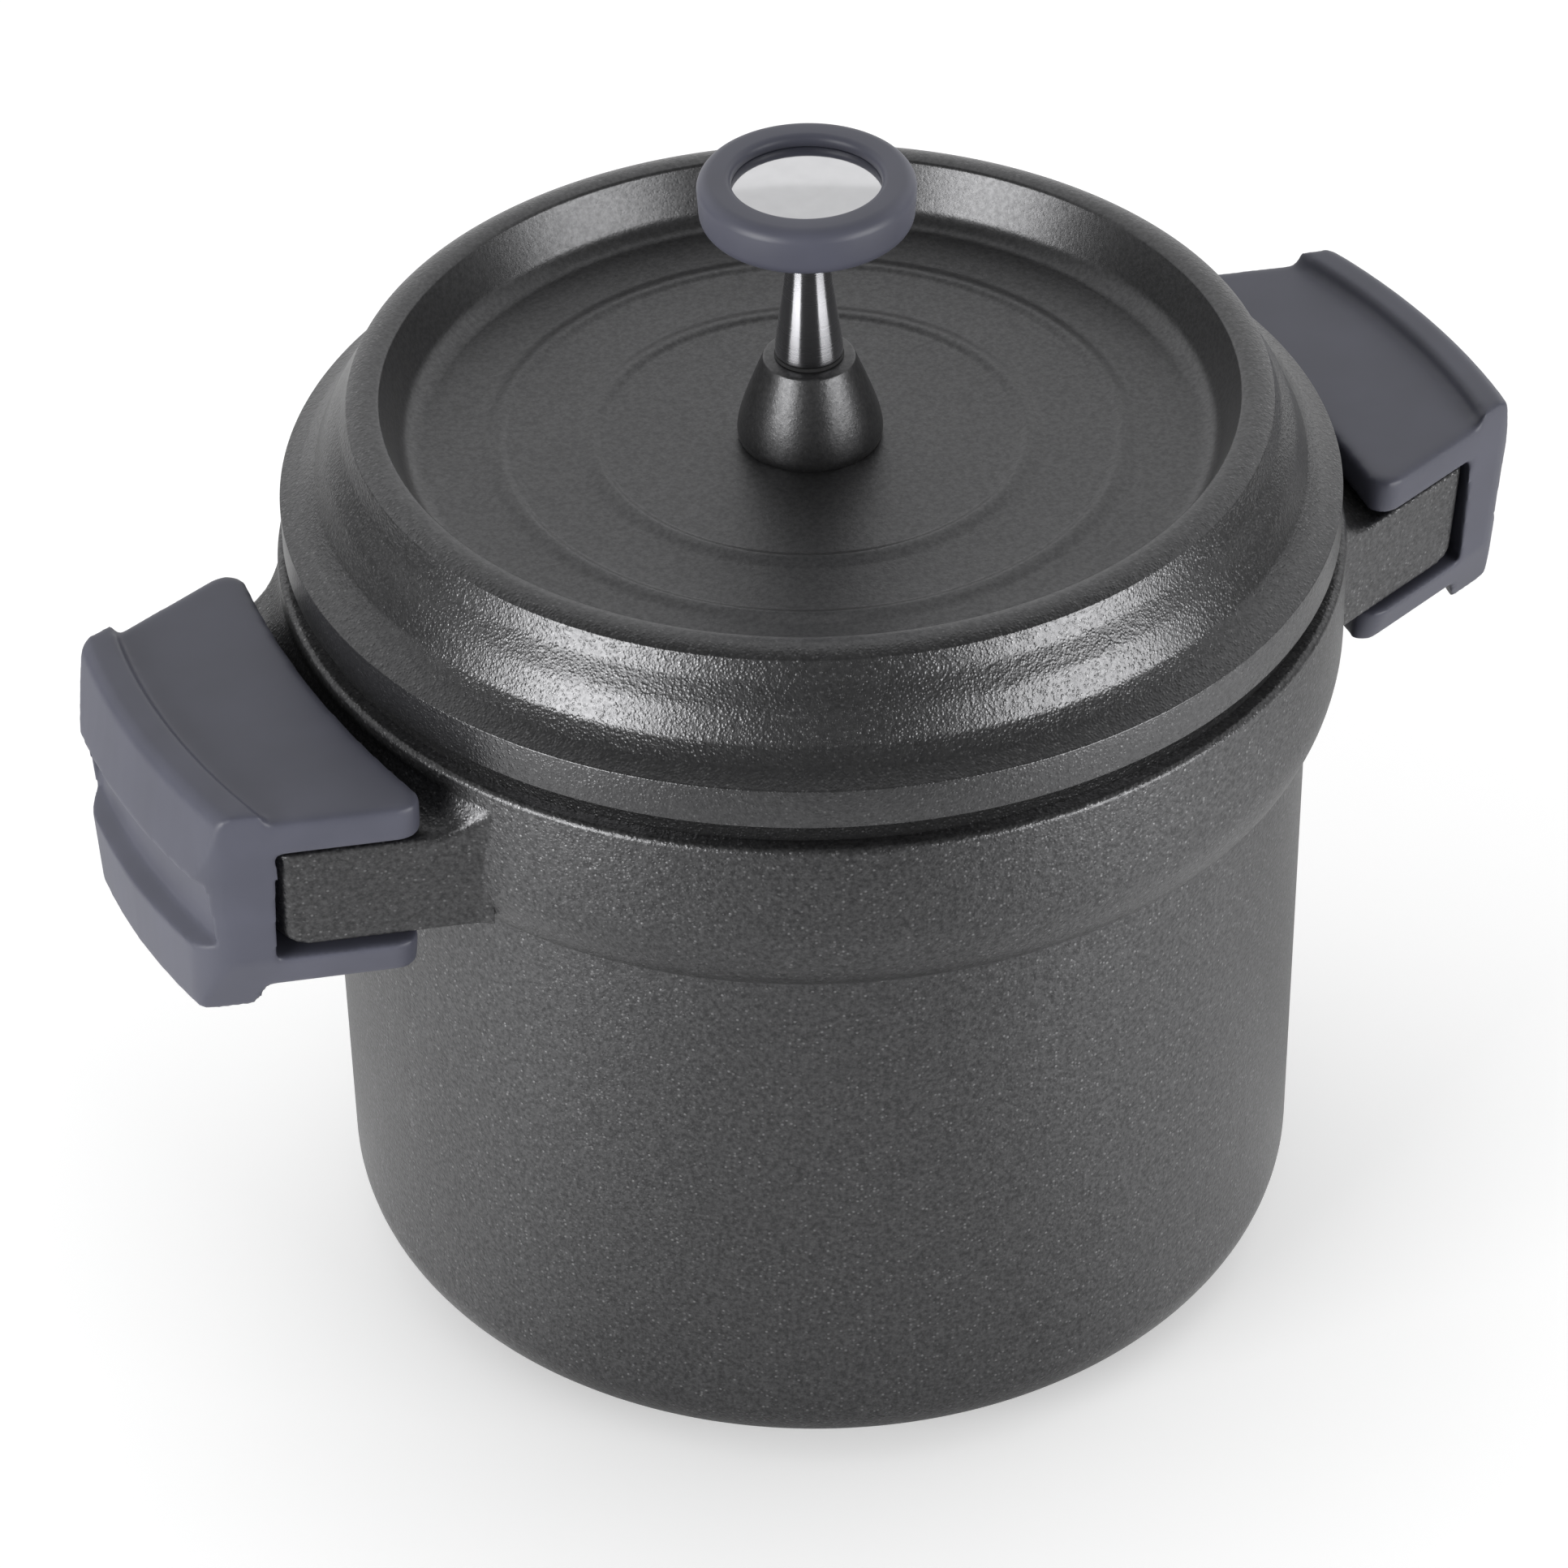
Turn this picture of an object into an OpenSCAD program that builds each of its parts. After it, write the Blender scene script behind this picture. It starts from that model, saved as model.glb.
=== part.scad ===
// Lidded cast stew pot: pot with two side lugs, domed lid with a turned knob, silicone grips.
// Millimetres. +Z is up, the origin is on the supporting surface at the pot's axis,
// and +X runs through the middle of the right-hand lug.

/* [Pot] */
// Outer radius of the pot at its rim
rim_r = 126.4; // [105:0.1:152]
// Height of the rim above the supporting surface
rim_z = 194; // [158:1:236]
// Height of the wide band below the rim
band_h = 44; // [44:1:54]
// Height of the sloping foot of the band
band_slope_h = 20; // [14:1:28]
// How far the band stands out from the lower wall
band_step = 7.9; // [6:0.1:9.5]
// How far the lower wall draws in towards the base
wall_draft = 1.2; // [0:0.1:3]
// Wall thickness below the band
wall_t = 4; // [3.2:0.1:5]
// Wall thickness at the rim
rim_t = 4.6; // [3.8:0.1:5.6]
// Radius of the outer corner between wall and base
corner_r = 19; // [12:1:26]
// Thickness of the pot's floor
floor_t = 6; // [5:0.5:9]
// Height of the foot below the base corner
foot_h = 1.2; // [0.6:0.1:2]

/* [Heating plate] */
// Radius of the steel plate let into the base
plate_r = 84; // [60:1:84]
// Thickness of the steel plate
plate_t = 1.5; // [0.8:0.1:2]
// Number of turned grooves in the plate's face
plate_grooves = 6; // [2:1:8]
// Depth of a turned groove
plate_groove_d = 0.3; // [0.2:0.05:0.4]

/* [Lid] */
// Clearance between the lid's spigot and the pot's mouth, on the radius
lid_clear = 0.8; // [0.4:0.1:1.5]
// Depth of the spigot inside the pot
spigot_h = 7; // [4:0.5:12]
// Gap between the lid's flange and the pot's rim
flange_gap = 4.6; // [2:0.2:6]
// Height of the upright band at the lid's edge
flange_h = 10.8; // [8:0.2:14]
// Height of the lid's crest above the rim
crest_h = 41.6; // [36:0.2:50]
// Distance from the rim's radius in to the crest's outer edge
crest_in = 17.6; // [13:0.2:21]
// Width of the flat top of the crest
crest_w = 7.5; // [5:0.5:10]
// Depth of the dished floor below the crest
dish_depth = 15.6; // [10:0.2:18]
// Wall thickness of the lid
lid_t = 3.5; // [3:0.1:4.5]
// Radius of the outer ring on the lid's floor
outer_ring_r = 73; // [56:1:74]
// Radius of the inner ring on the lid's floor
inner_ring_r = 51; // [36:1:53]
// Height of the rings on the lid's floor
ring_h = 0.7; // [0.4:0.1:1.2]
// Width of the rings on the lid's floor
ring_w = 2.6; // [1.6:0.2:4]

/* [Knob] */
// Height of the boss that carries the knob, above the lid's floor
boss_h = 22; // [17:0.5:28]
// Radius of the boss at its top
boss_top_r = 10.8; // [9.6:0.1:12]
// Radius of the boss at its foot
boss_foot_r = 16.6; // [14:0.2:19]
// Thickness of the gasket under the stem
gasket_t = 1; // [0.6:0.1:1.6]
// Length of the stem
stem_h = 34; // [28:0.5:44]
// Radius of the stem at its foot
stem_foot_r = 8.4; // [7.6:0.1:9.2]
// Radius of the stem at its waist
stem_waist_r = 5.7; // [5:0.1:6.4]
// Outer radius of the knob's silicone ring
knob_r = 25.2; // [24:0.2:31]
// Height of the knob's silicone ring
knob_h = 12; // [10.5:0.5:15]
// Radius of the ring's opening above the disc
opening_r = 17.3; // [14:0.1:18]
// How far the disc lies below the top of the ring
disc_drop = 3; // [2:0.2:4]
// Thickness of the polished disc
disc_t = 1.2; // [0.8:0.1:1.6]
// Rise of the disc's middle over its edge
disc_crown = 0.5; // [0.2:0.1:0.8]

/* [Fastening] */
// Shank radius of the knob's screw
screw_r = 2.5; // [2:0.25:3]
// Head radius of the knob's screw
screw_head_r = 4.6; // [4.2:0.1:5]
// Head height of the knob's screw
screw_head_h = 3.2; // [2.4:0.1:3.8]
// Depth of the knob's screw in the stem
screw_bite = 13; // [9:0.5:14]
// Shank radius of the screw in the knob's head
head_screw_r = 2; // [1.5:0.25:2.5]
// Depth of the head's screw in the stem
head_screw_bite = 10; // [7:0.5:12]
// Clearance of a screw in its thread, on the radius
thread_clear = 0.06; // [0.03:0.01:0.1]

/* [Grips] */
// Distance from the pot's rim out to the outside of a grip
grip_out = 52; // [46:1:62]
// Radius of a grip's outside, seen from above
grip_round_r = 205; // [160:5:240]
// Half the width of a grip at its inner edge
grip_half_in = 54; // [48:1:60]
// Half the width of a grip at its outer edge
grip_half_out = 38.5; // [32:0.5:42]
// Gap between the rim and the middle of the top plate
plate_gap = 3.3; // [2.5:0.1:7]
// How far the top plate's ends reach in past its middle
plate_sag = 5.2; // [4:0.2:6.5]
// How far the top plate lies below the rim
plate_drop = 1; // [0:0.5:3]
// Thickness of the top plate
plate_top_t = 10; // [7:0.5:11]
// Thickness of the lower flange
plate_low_t = 10; // [8:0.5:11]
// Radial thickness of the outer wall
web_t = 15; // [13:0.5:18]
// Slope of the outer wall above its finger groove, in degrees
face_slope = 11; // [4:1:14]
// Height of the raised lip above the top plate
lip_h = 3.2; // [2:0.2:4]
// Width of the raised lip
lip_w = 12; // [10:0.5:13]
// Depth of the lower lip below the lower flange
low_lip_h = 6.5; // [4:0.5:8]
// Depth of the finger groove in the outer wall
groove_d = 5; // [3:0.5:7]
// Half the length of the finger groove
groove_half = 34; // [26:1:35]
// Draft of a grip's ends, in degrees
end_draft = 5; // [2:0.5:7]
// Draft of a grip's ends below the lug, in degrees
low_draft = 20; // [8:1:32]
// Radius of a grip's upright outer corners
grip_soft = 7; // [4:0.5:12]
// Radius of a grip's corners at its inner edge, seen from above
inner_soft = 5; // [2:0.5:7]

/* [Lugs] */
// Height of a cast lug
lug_h = 28; // [24:0.5:29]
// Room above a lug, inside its grip
lug_room_top = 1.2; // [0.4:0.1:2]
// Room below a lug, inside its grip
lug_room_low = 2.2; // [1:0.1:4]
// Gap between a lug's outer end and its grip
lug_end_gap = 1; // [0.4:0.1:2]
// How far a lug's ends stand back from its grip's ends
lug_back = 1.4; // [1:0.1:3]
// Radius where a lug's ends run into the pot
lug_fillet = 12; // [6:1:16]
// Radius of a lug's upright outer corners
lug_soft = 2; // [1:0.5:9]
// Radius of a lug's lower outer edge
lug_low_soft = 8; // [3:0.5:12]
// Wall thickness around the cored cells of a lug
lug_wall = 4; // [3:0.5:5]

/* [Hidden] */
$fn = 96;
far = 400;
seat = 0.05;

// Pot
low_r = rim_r - band_step;
base_r = low_r - wall_draft;
foot_r = base_r - corner_r;
mouth_r = rim_r - rim_t;
floor_z = foot_h + floor_t;
edge_soft = 1.6;

// Lid
spigot_r = mouth_r - lid_clear;
seat_r = mouth_r + 2;
flange_r = rim_r - 1.6;
flange_z = rim_z + flange_gap;
flange_top_r = flange_r - 1.4;
bell_z = flange_z + flange_h + 3.8;
bell_r = flange_r - 3.4;
crest_z = rim_z + crest_h;
crest_r = rim_r - crest_in;
dish_r = crest_r - crest_w;
dish_z = crest_z - dish_depth;
dish_floor_r = dish_r - 11;

// Knob, from the lid's floor upwards
boss_z = dish_z + boss_h;
stem_z = boss_z + gasket_t;
head_z = stem_z + stem_h;
ring_z = head_z + 1.5;
ring_top_z = ring_z + knob_h;
disc_z = ring_top_z - disc_drop - disc_t;
head_r = knob_r - 4.7;
neck_r = stem_waist_r + 6;
lip_t = 1.4;
head_pocket_z = ring_z + lip_t + 1.6;

// Screw stack, from the pocket's ceiling downwards
pocket_z = dish_z + boss_h / 2;
pocket_r = screw_head_r + 2.4;
seal_t = 1.2;
washer_t = 1;
spring_t = 1.2;
seal_z = pocket_z - seal_t;
washer_z = seal_z - washer_t;
spring_z = washer_z - spring_t;
screw_hole_r = screw_r + 0.3;

// Grips and lugs
grip_r = rim_r + grip_out;
round_c = [grip_r - grip_round_r, 0];
plate_z = rim_z - plate_drop;
web_r = grip_r - web_t;
window_z = plate_z - plate_top_t;
lug_r = web_r - lug_end_gap;
lug_z = window_z - lug_room_top;
lug_low_z = lug_z - lug_h;
flange_top_z = lug_low_z - lug_room_low;
flange_low_z = flange_top_z - plate_low_t;
grip_low_z = flange_low_z - low_lip_h;
groove_top_z = plate_z - 17;
groove_low_z = flange_top_z + 4.5;
edge_u = rim_r + plate_gap;
edge_arc_r = (grip_half_in * grip_half_in + plate_sag * plate_sag) / (2 * plate_sag);
inner_corner = [edge_u - plate_sag, grip_half_in];
end_dir = unit([grip_r - 6, grip_half_out] - inner_corner);
end_angle = atan2(end_dir.y, end_dir.x);
low_corner = inner_corner - (plate_z - flange_top_z) * tan(end_draft) * across(end_dir);
shoulder_z = rim_z - 4;
cell_n = 3;

function unit(v) = v / norm(v);
function across(d) = [-d.y, d.x];
function polar(r, a) = r * [cos(a), sin(a)];
function flattened(points, z, k) = [for (p = points) [p.x, z + (p.y - z) * k]];

// Points on an arc about c, and on a Bezier curve
function arc(c, r, a0, a1, n = 8) = [for (i = [0:n]) c + polar(r, a0 + (a1 - a0) * i / n)];
function bez(a, b, c, d, n = 12) = [
    for (i = [0:n])
        let (t = i / n, s = 1 - t)
        s * s * s * a + 3 * s * s * t * b + 3 * s * t * t * c + t * t * t * d
];

// Distance from p along the unit vector d to the circle of radius r about c
function reach(p, d, c, r) =
    let (q = p - c)
    sqrt(pow(q * d, 2) - q * q + r * r) - q * d;

// Outline from the end line through p along d, round the soft corner and along the outside,
// which is an arc about round_c that crosses the lug's axis at u, as far as the other side
function outer_outline(p, d, u, soft) =
    let (
        r = u - round_c.x,
        corner = p + reach(p, d, round_c, r) * d,
        turn = atan2(corner.y, corner.x - round_c.x),
        stop_a = turn - soft / r * 180 / PI,
        stop = round_c + polar(r, stop_a)
    )
    concat(
        bez(corner - soft * d, corner - soft * 0.4 * d, corner * 0.4 + stop * 0.6, stop, 6),
        arc(round_c, r, stop_a * 0.9, -turn, 14),
        [[round_c.x, -r]]
    );

module ring_of(points) {
    rotate_extrude() polygon(points);
}

module tube(r_out, r_in, h) {
    difference() {
        cylinder(r = r_out, h = h);
        translate([0, 0, -1]) cylinder(r = r_in, h = h + 2);
    }
}

// Leans an outline about the line through p at the angle a, so that it is drafted
module drafted(p, a, top_z, draft) {
    translate([p.x, p.y, top_z])
        rotate([0, 0, a])
            rotate([-draft, 0, 0])
                rotate([0, 0, -a])
                    translate([-p.x, -p.y, -far])
                        linear_extrude(2 * far)
                            children();
}

// Both drafted ends at once
module both_ends(p, a, top_z, draft) {
    intersection() {
        drafted(p, a, top_z, draft) children();
        mirror([0, 1, 0]) drafted(p, a, top_z, draft) children();
    }
}

// ---- Pot ----

band_low = [low_r, rim_z - band_h];
band_top = [rim_r, rim_z - band_h + band_slope_h];

function pot_outside() = concat(
    [[0, 0], [foot_r - 1, 0], [foot_r, foot_h]],
    arc([foot_r, foot_h + corner_r], corner_r, -90, 0, 10),
    bez(band_low, band_low + [4.2, 2.6], band_top - [0, 9], band_top, 10),
    arc([rim_r - edge_soft, rim_z - edge_soft], edge_soft, 0, 90, 4),
    [[0, rim_z]]
);

function pot_inside() = let (
    in_low = [low_r - wall_t, rim_z - band_h + 1],
    in_top = [mouth_r, rim_z - band_h + band_slope_h + 1],
    in_corner = corner_r - wall_t,
    in_base = base_r - wall_t
) concat(
    [[0, floor_z]],
    arc([in_base - in_corner, floor_z + in_corner], in_corner, -90, 0, 8),
    bez(in_low, in_low + [4.2, 2.6], in_top - [0, 9], in_top, 10),
    [[mouth_r, rim_z - 0.8], [mouth_r + 0.8, rim_z], [mouth_r + 0.8, rim_z + 1], [0, rim_z + 1]]
);

// Half of a lug seen from above: a fillet out of the pot's wall, its end and its outside
function lug_outline() =
    let (
        n = across(end_dir),
        p = inner_corner - lug_back * n + lug_fillet * n,
        c = p + reach(p, end_dir, [0, 0], rim_r + lug_fillet) * end_dir,
        wall_a = atan2(-c.y, -c.x) + 360,
        end_a = atan2(-n.y, -n.x) + 360
    )
    concat(
        [[0, -far / 2], [0, 0], polar(rim_r - 14, wall_a - 180)],
        arc(c, lug_fillet, wall_a, end_a, 6),
        outer_outline(inner_corner - lug_back * n, end_dir, lug_r, lug_soft)
    );

// Sloping fillet between the rim and the grip's top plate
module lug_shoulder() {
    intersection() {
        ring_of(concat(
            [[rim_r - 2, lug_low_z], [rim_r + 9, lug_low_z]],
            bez([rim_r + 9, lug_z - 0.5], [rim_r + 4, lug_z + 0.5], [rim_r + 1, lug_z + 3],
                [rim_r - 0.3, shoulder_z], 6),
            [[rim_r - 2, shoulder_z]]
        ));
        translate([edge_u - 1 - edge_arc_r, 0, lug_low_z])
            cylinder(r = edge_arc_r, h = shoulder_z - lug_low_z);
    }
}

// Height of a lug, with its lower outer edge rounded
module lug_slab() {
    outer_r = lug_r - round_c.x;
    translate(round_c)
        rotate([0, 0, -40])
            rotate_extrude(angle = 80)
                polygon(concat(
                    [[outer_r / 3, lug_low_z]],
                    arc([outer_r - lug_low_soft, lug_low_z + lug_low_soft], lug_low_soft, -90, 0, 6),
                    [[outer_r + 1, lug_low_z + lug_low_soft + 1], [outer_r + 1, lug_z], [outer_r / 3, lug_z]]
                ));
}

module lug() {
    cell_w = (2 * grip_half_out - 2 * lug_wall) / cell_n - lug_wall;
    cell_u = rim_r + lug_wall;
    difference() {
        intersection() {
            both_ends(inner_corner, end_angle, plate_z, end_draft) polygon(lug_outline());
            union() {
                lug_slab();
                lug_shoulder();
            }
        }
        // Cored cells, open below
        for (i = [0:cell_n - 1])
            translate([cell_u, (i - (cell_n - 1) / 2) * (cell_w + lug_wall) - cell_w / 2, 0])
                cube([lug_r - lug_wall - 2 - cell_u, cell_w, lug_z - lug_wall]);
    }
}

module pot_body() {
    color("#4b4b4d")
        difference() {
            union() {
                ring_of(pot_outside());
                lug();
                rotate([0, 0, 180]) lug();
            }
            ring_of(pot_inside());
            translate([0, 0, -1]) cylinder(r = plate_r + seat, h = 1 + plate_t);
        }
}

module heating_plate() {
    pitch = (plate_r - 14) / plate_grooves;
    color("#a9aaac")
        difference() {
            cylinder(r = plate_r, h = plate_t);
            for (i = [1:plate_grooves])
                translate([0, 0, -1])
                    tube(10 + i * pitch, 10 + i * pitch - 1.2, 1 + plate_groove_d);
        }
}

// ---- Lid ----

function floor_ring(r) = flattened(arc([r, dish_z], ring_w / 2, 0, 180, 6), dish_z, 2 * ring_h / ring_w);

function boss_outline() = concat(
    bez([boss_foot_r + 2.4, dish_z], [boss_foot_r + 0.8, dish_z],
        [boss_foot_r + 0.1, dish_z + 0.8], [boss_foot_r, dish_z + 2], 6),
    bez([boss_foot_r, dish_z + 2.6], [boss_foot_r - 0.3, dish_z + boss_h * 0.35],
        [boss_top_r + 2.2, dish_z + boss_h * 0.7], [boss_top_r, boss_z - 0.8], 8),
    [[boss_top_r - 0.8, boss_z], [0, boss_z]]
);

function lid_outside() = concat(
    [[spigot_r - lid_t, rim_z - spigot_h], [spigot_r - 0.8, rim_z - spigot_h]],
    [[spigot_r, rim_z - spigot_h + 0.8], [spigot_r, rim_z]],
    [[seat_r, rim_z], [seat_r, flange_z]],
    arc([flange_r - 0.8, flange_z + 0.8], 0.8, -90, 0, 3),
    arc([flange_top_r - 1.6, flange_z + flange_h - 1.6], 1.6, 0, 70, 4),
    bez([flange_top_r - 2.8, flange_z + flange_h + 1], [flange_top_r - 4, flange_z + flange_h + 2],
        [bell_r - 2, bell_z - 2], [bell_r, bell_z], 6),
    bez([bell_r + 0.05, bell_z + 0.6], [bell_r - 0.6, bell_z + 3.4], [crest_r + 5.4, bell_z + 6.6],
        [crest_r + 2.8, crest_z - 9.4], 10),
    bez([crest_r + 2.2, crest_z - 8.2], [crest_r + 1, crest_z - 6], [crest_r, crest_z - 4.6],
        [crest_r, crest_z - 2.6], 5),
    arc([crest_r - 2, crest_z - 2], 2, 0, 84, 5),
    arc([dish_r + 1, crest_z - 1], 1, 90, 170, 4),
    bez([dish_r - 0.6, crest_z - 3.2], [dish_r - 3.6, dish_z + 2], [dish_r - 6, dish_z],
        [dish_floor_r, dish_z], 10),
    floor_ring(outer_ring_r),
    floor_ring(inner_ring_r)
);

function lid_underside() = concat(
    [[0, dish_z - lid_t], [dish_floor_r + 1, dish_z - lid_t]],
    bez([dish_floor_r + 2, dish_z - lid_t], [dish_r - 2, dish_z - lid_t],
        [dish_r + 0.4, dish_z], [dish_r + lid_t - 0.6, crest_z - lid_t - 3], 8),
    [[dish_r + lid_t + 0.2, crest_z - lid_t - 1.6], [crest_r - lid_t, crest_z - lid_t - 1.6]],
    bez([crest_r - lid_t + 0.4, crest_z - lid_t - 4], [crest_r + 1, bell_z + 8],
        [bell_r - lid_t - 3, bell_z + 5], [bell_r - lid_t - 1, bell_z - 1], 10),
    [[spigot_r - lid_t, flange_z + flange_h - 1], [spigot_r - lid_t, rim_z - spigot_h]]
);

module lid() {
    color("#4b4b4d")
        difference() {
            ring_of(concat(lid_outside(), boss_outline(), lid_underside()));
            cylinder(r = screw_hole_r, h = boss_z + 1);
            translate([0, 0, dish_z - lid_t - 1])
                cylinder(r = pocket_r, h = pocket_z - dish_z + lid_t + 1);
        }
}

// ---- Knob ----

module stem_gasket() {
    color("#1c1c1e")
        translate([0, 0, boss_z])
            tube(stem_foot_r + 0.5, screw_hole_r, gasket_t);
}

module knob_stem() {
    waist_z = stem_z + stem_h * 0.74;
    color("#c9cbce")
        difference() {
            ring_of(concat(
                [[0, stem_z], [stem_foot_r - 0.6, stem_z], [stem_foot_r, stem_z + 0.6]],
                bez([stem_foot_r, stem_z + 1.2], [stem_foot_r - 0.8, stem_z + stem_h * 0.25],
                    [stem_waist_r + 0.6, stem_z + stem_h * 0.5], [stem_waist_r, waist_z], 10),
                bez([stem_waist_r, waist_z + 0.5], [stem_waist_r, head_z - 4],
                    [stem_waist_r + 0.8, head_z - 1], [stem_waist_r + 3, head_z], 8),
                [[0, head_z]]
            ));
            translate([0, 0, stem_z - 1])
                cylinder(r = screw_r + thread_clear, h = screw_bite + 2);
            translate([0, 0, head_z - head_screw_bite - 1])
                cylinder(r = head_screw_r + thread_clear, h = head_screw_bite + 2);
        }
}

module knob_head() {
    color("#b4b6b9")
        difference() {
            union() {
                translate([0, 0, head_z])
                    cylinder(r = neck_r, h = ring_z + lip_t - head_z);
                translate([0, 0, ring_z + lip_t])
                    cylinder(r = head_r, h = disc_z - ring_z - lip_t);
            }
            translate([0, 0, head_pocket_z]) cylinder(r = head_r - 4, h = knob_h);
            translate([0, 0, head_z - 1]) cylinder(r = head_screw_r + 0.2, h = knob_h);
        }
}

// Pan-head screw standing on its head, with a cross recess in the head
module pan_screw(shank_r, shank_h, cap_r, cap_h) {
    difference() {
        union() {
            translate([0, 0, -cap_h / 2]) cylinder(r = shank_r, h = shank_h + cap_h / 2);
            ring_of(concat([[0, 0], [cap_r, 0]], arc([cap_r - 1.2, 1.2 - cap_h], 1.2, 0, -90, 4),
                [[0, -cap_h]]));
        }
        for (a = [0, 90])
            rotate([0, 0, a])
                translate([-cap_r * 0.55, -0.5, -cap_h - 1])
                    cube([cap_r * 1.1, 1, 1 + cap_h * 0.55]);
    }
}

module head_screw() {
    color("#8d8f92")
        translate([0, 0, head_pocket_z])
            rotate([180, 0, 0])
                pan_screw(head_screw_r, head_pocket_z - head_z + head_screw_bite, head_screw_r * 2, 2.2);
}

module knob_ring() {
    soft = 3.2;
    groove_r = head_r + seat;
    color("#54566a")
        ring_of(concat(
            [[neck_r + seat, ring_z + lip_t], [neck_r + seat, ring_z]],
            arc([knob_r - soft - 0.4, ring_z + soft], soft, -90, 0, 6),
            arc([knob_r - soft, ring_top_z - soft], soft, 0, 90, 6),
            arc([opening_r + 1.6, ring_top_z - 1.6], 1.6, 90, 180, 5),
            [[opening_r, disc_z + disc_t], [groove_r, disc_z + disc_t], [groove_r, ring_z + lip_t]]
        ));
}

module knob_disc() {
    top_z = disc_z + disc_t;
    half = opening_r - 0.3;
    crown_r = (half * half + disc_crown * disc_crown) / (2 * disc_crown);
    color("#e4e5e7")
        ring_of(concat(
            [[0, disc_z], [head_r, disc_z], [head_r, top_z]],
            arc([0, top_z + disc_crown - crown_r], crown_r, acos(half / crown_r), 90, 10)
        ));
}

// ---- Screw stack under the boss ----

module seal_washer() {
    color("#2a2a2c")
        translate([0, 0, seal_z])
            tube(pocket_r - 0.4, screw_r + seat, seal_t);
}

module plain_washer() {
    color("#9b9da0")
        translate([0, 0, washer_z])
            tube(pocket_r - 0.9, screw_r + 0.2, washer_t);
}

module spring_washer() {
    color("#8f9194")
        difference() {
            translate([0, 0, spring_z])
                tube(screw_r + 2.1, screw_r + 0.15, spring_t);
            translate([0, -0.5, spring_z - 1])
                cube([screw_r + 4, 1, spring_t + 2]);
        }
}

module knob_screw() {
    color("#9b9da0")
        translate([0, 0, spring_z])
            pan_screw(screw_r, stem_z + screw_bite - spring_z, screw_head_r, screw_head_h);
}

// ---- Grips ----

// Section of a grip through its middle: radius about round_c, height
function grip_section() =
    let (
        inner = edge_u - plate_sag - 20,
        lip_r = grip_r - lip_w,
        lip_z = plate_z + lip_h,
        top_r = grip_r - (lip_z - groove_top_z) * tan(face_slope),
        points = concat(
            [[inner, flange_low_z], [web_r, flange_low_z], [web_r + 2, grip_low_z]],
            arc([grip_r - 5, grip_low_z + 5], 5, -90, 0, 6),
            [[grip_r, groove_low_z + 2]],
            [[grip_r, groove_top_z]],
            arc([top_r - 3, lip_z - 3.6], 3.6, face_slope, 84, 5),
            bez([lip_r + 1, lip_z], [lip_r + 0.1, lip_z], [lip_r - 0.2, lip_z - 0.6],
                [lip_r - 0.9, plate_z + 0.8], 5),
            [[lip_r - 1.8, plate_z]],
            [[inner, plate_z], [inner, window_z], [web_r, window_z]],
            [[web_r, flange_top_z], [inner, flange_top_z]]
        )
    )
    [for (p = points) [p.x - round_c.x, p.y]];

function grip_outline() = concat(
    [[0, -far / 2], [0, 0], [inner_corner.x - 30, inner_corner.y], inner_corner],
    outer_outline(inner_corner, end_dir, grip_r + 1, grip_soft)
);

// What a soft corner leaves out between the end line through p and the inner edge
function corner_cut(p) =
    let (
        n = across(end_dir),
        c = [edge_u - edge_arc_r, 0],
        corner = p + reach(p, end_dir, c, edge_arc_r) * end_dir,
        q = p - inner_soft * n,
        mid = q + reach(q, end_dir, c, edge_arc_r + inner_soft) * end_dir,
        end_a = atan2(n.y, n.x),
        edge_a = atan2(c.y - mid.y, c.x - mid.x) + 360
    )
    concat(arc(mid, inner_soft, end_a, edge_a, 8), [2 * corner - mid]);

// Long finger groove in the outer wall, closed at both ends
module finger_groove() {
    back_r = grip_r - groove_d;
    points = concat(
        [[grip_r + 5, groove_low_z - 3.4], [grip_r, groove_low_z - 1]],
        bez([back_r + 0.6, groove_low_z + 2], [back_r, groove_low_z + 4],
            [back_r, groove_top_z - 4], [back_r + 0.6, groove_top_z - 2], 6),
        [[grip_r, groove_top_z], [grip_r + 5, groove_top_z]]
    );
    intersection() {
        translate(round_c)
            rotate([0, 0, -20])
                rotate_extrude(angle = 40)
                    polygon([for (p = points) [p.x - round_c.x, p.y]]);
        translate([0, -groove_half, 0]) cube([far, 2 * groove_half, far]);
    }
}

// Below the lug the ends draw in further
module low_trim() {
    for (side = [0, 1])
        mirror([0, side, 0])
            translate([low_corner.x, low_corner.y, flange_top_z])
                rotate([0, 0, end_angle])
                    rotate([-low_draft, 0, 0])
                        translate([-far / 8, 0, -far / 4])
                            cube([far / 2, far / 4, far / 4]);
}

// Soft corners at the inner edge of the top plate and of the lower flange
module inner_corners() {
    between_z = (window_z + flange_top_z) / 2;
    for (side = [0, 1])
        mirror([0, side, 0]) {
            intersection() {
                drafted(inner_corner, end_angle, plate_z, end_draft) polygon(corner_cut(inner_corner));
                translate([0, 0, between_z]) cube(far);
            }
            difference() {
                drafted(low_corner, end_angle, flange_top_z, low_draft) polygon(corner_cut(low_corner));
                translate([0, 0, between_z]) cube(2 * far);
            }
        }
}

module grip() {
    difference() {
        intersection() {
            translate(round_c)
                rotate([0, 0, -24])
                    rotate_extrude(angle = 48)
                        polygon(grip_section());
            both_ends(inner_corner, end_angle, plate_z, end_draft) polygon(grip_outline());
        }
        // Inner edge of the plate and of the lower flange
        translate([edge_u - edge_arc_r, 0, 0]) cylinder(r = edge_arc_r, h = far);
        low_trim();
        inner_corners();
        finger_groove();
    }
}

module right_grip() {
    color("#5a5b66") grip();
}

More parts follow.
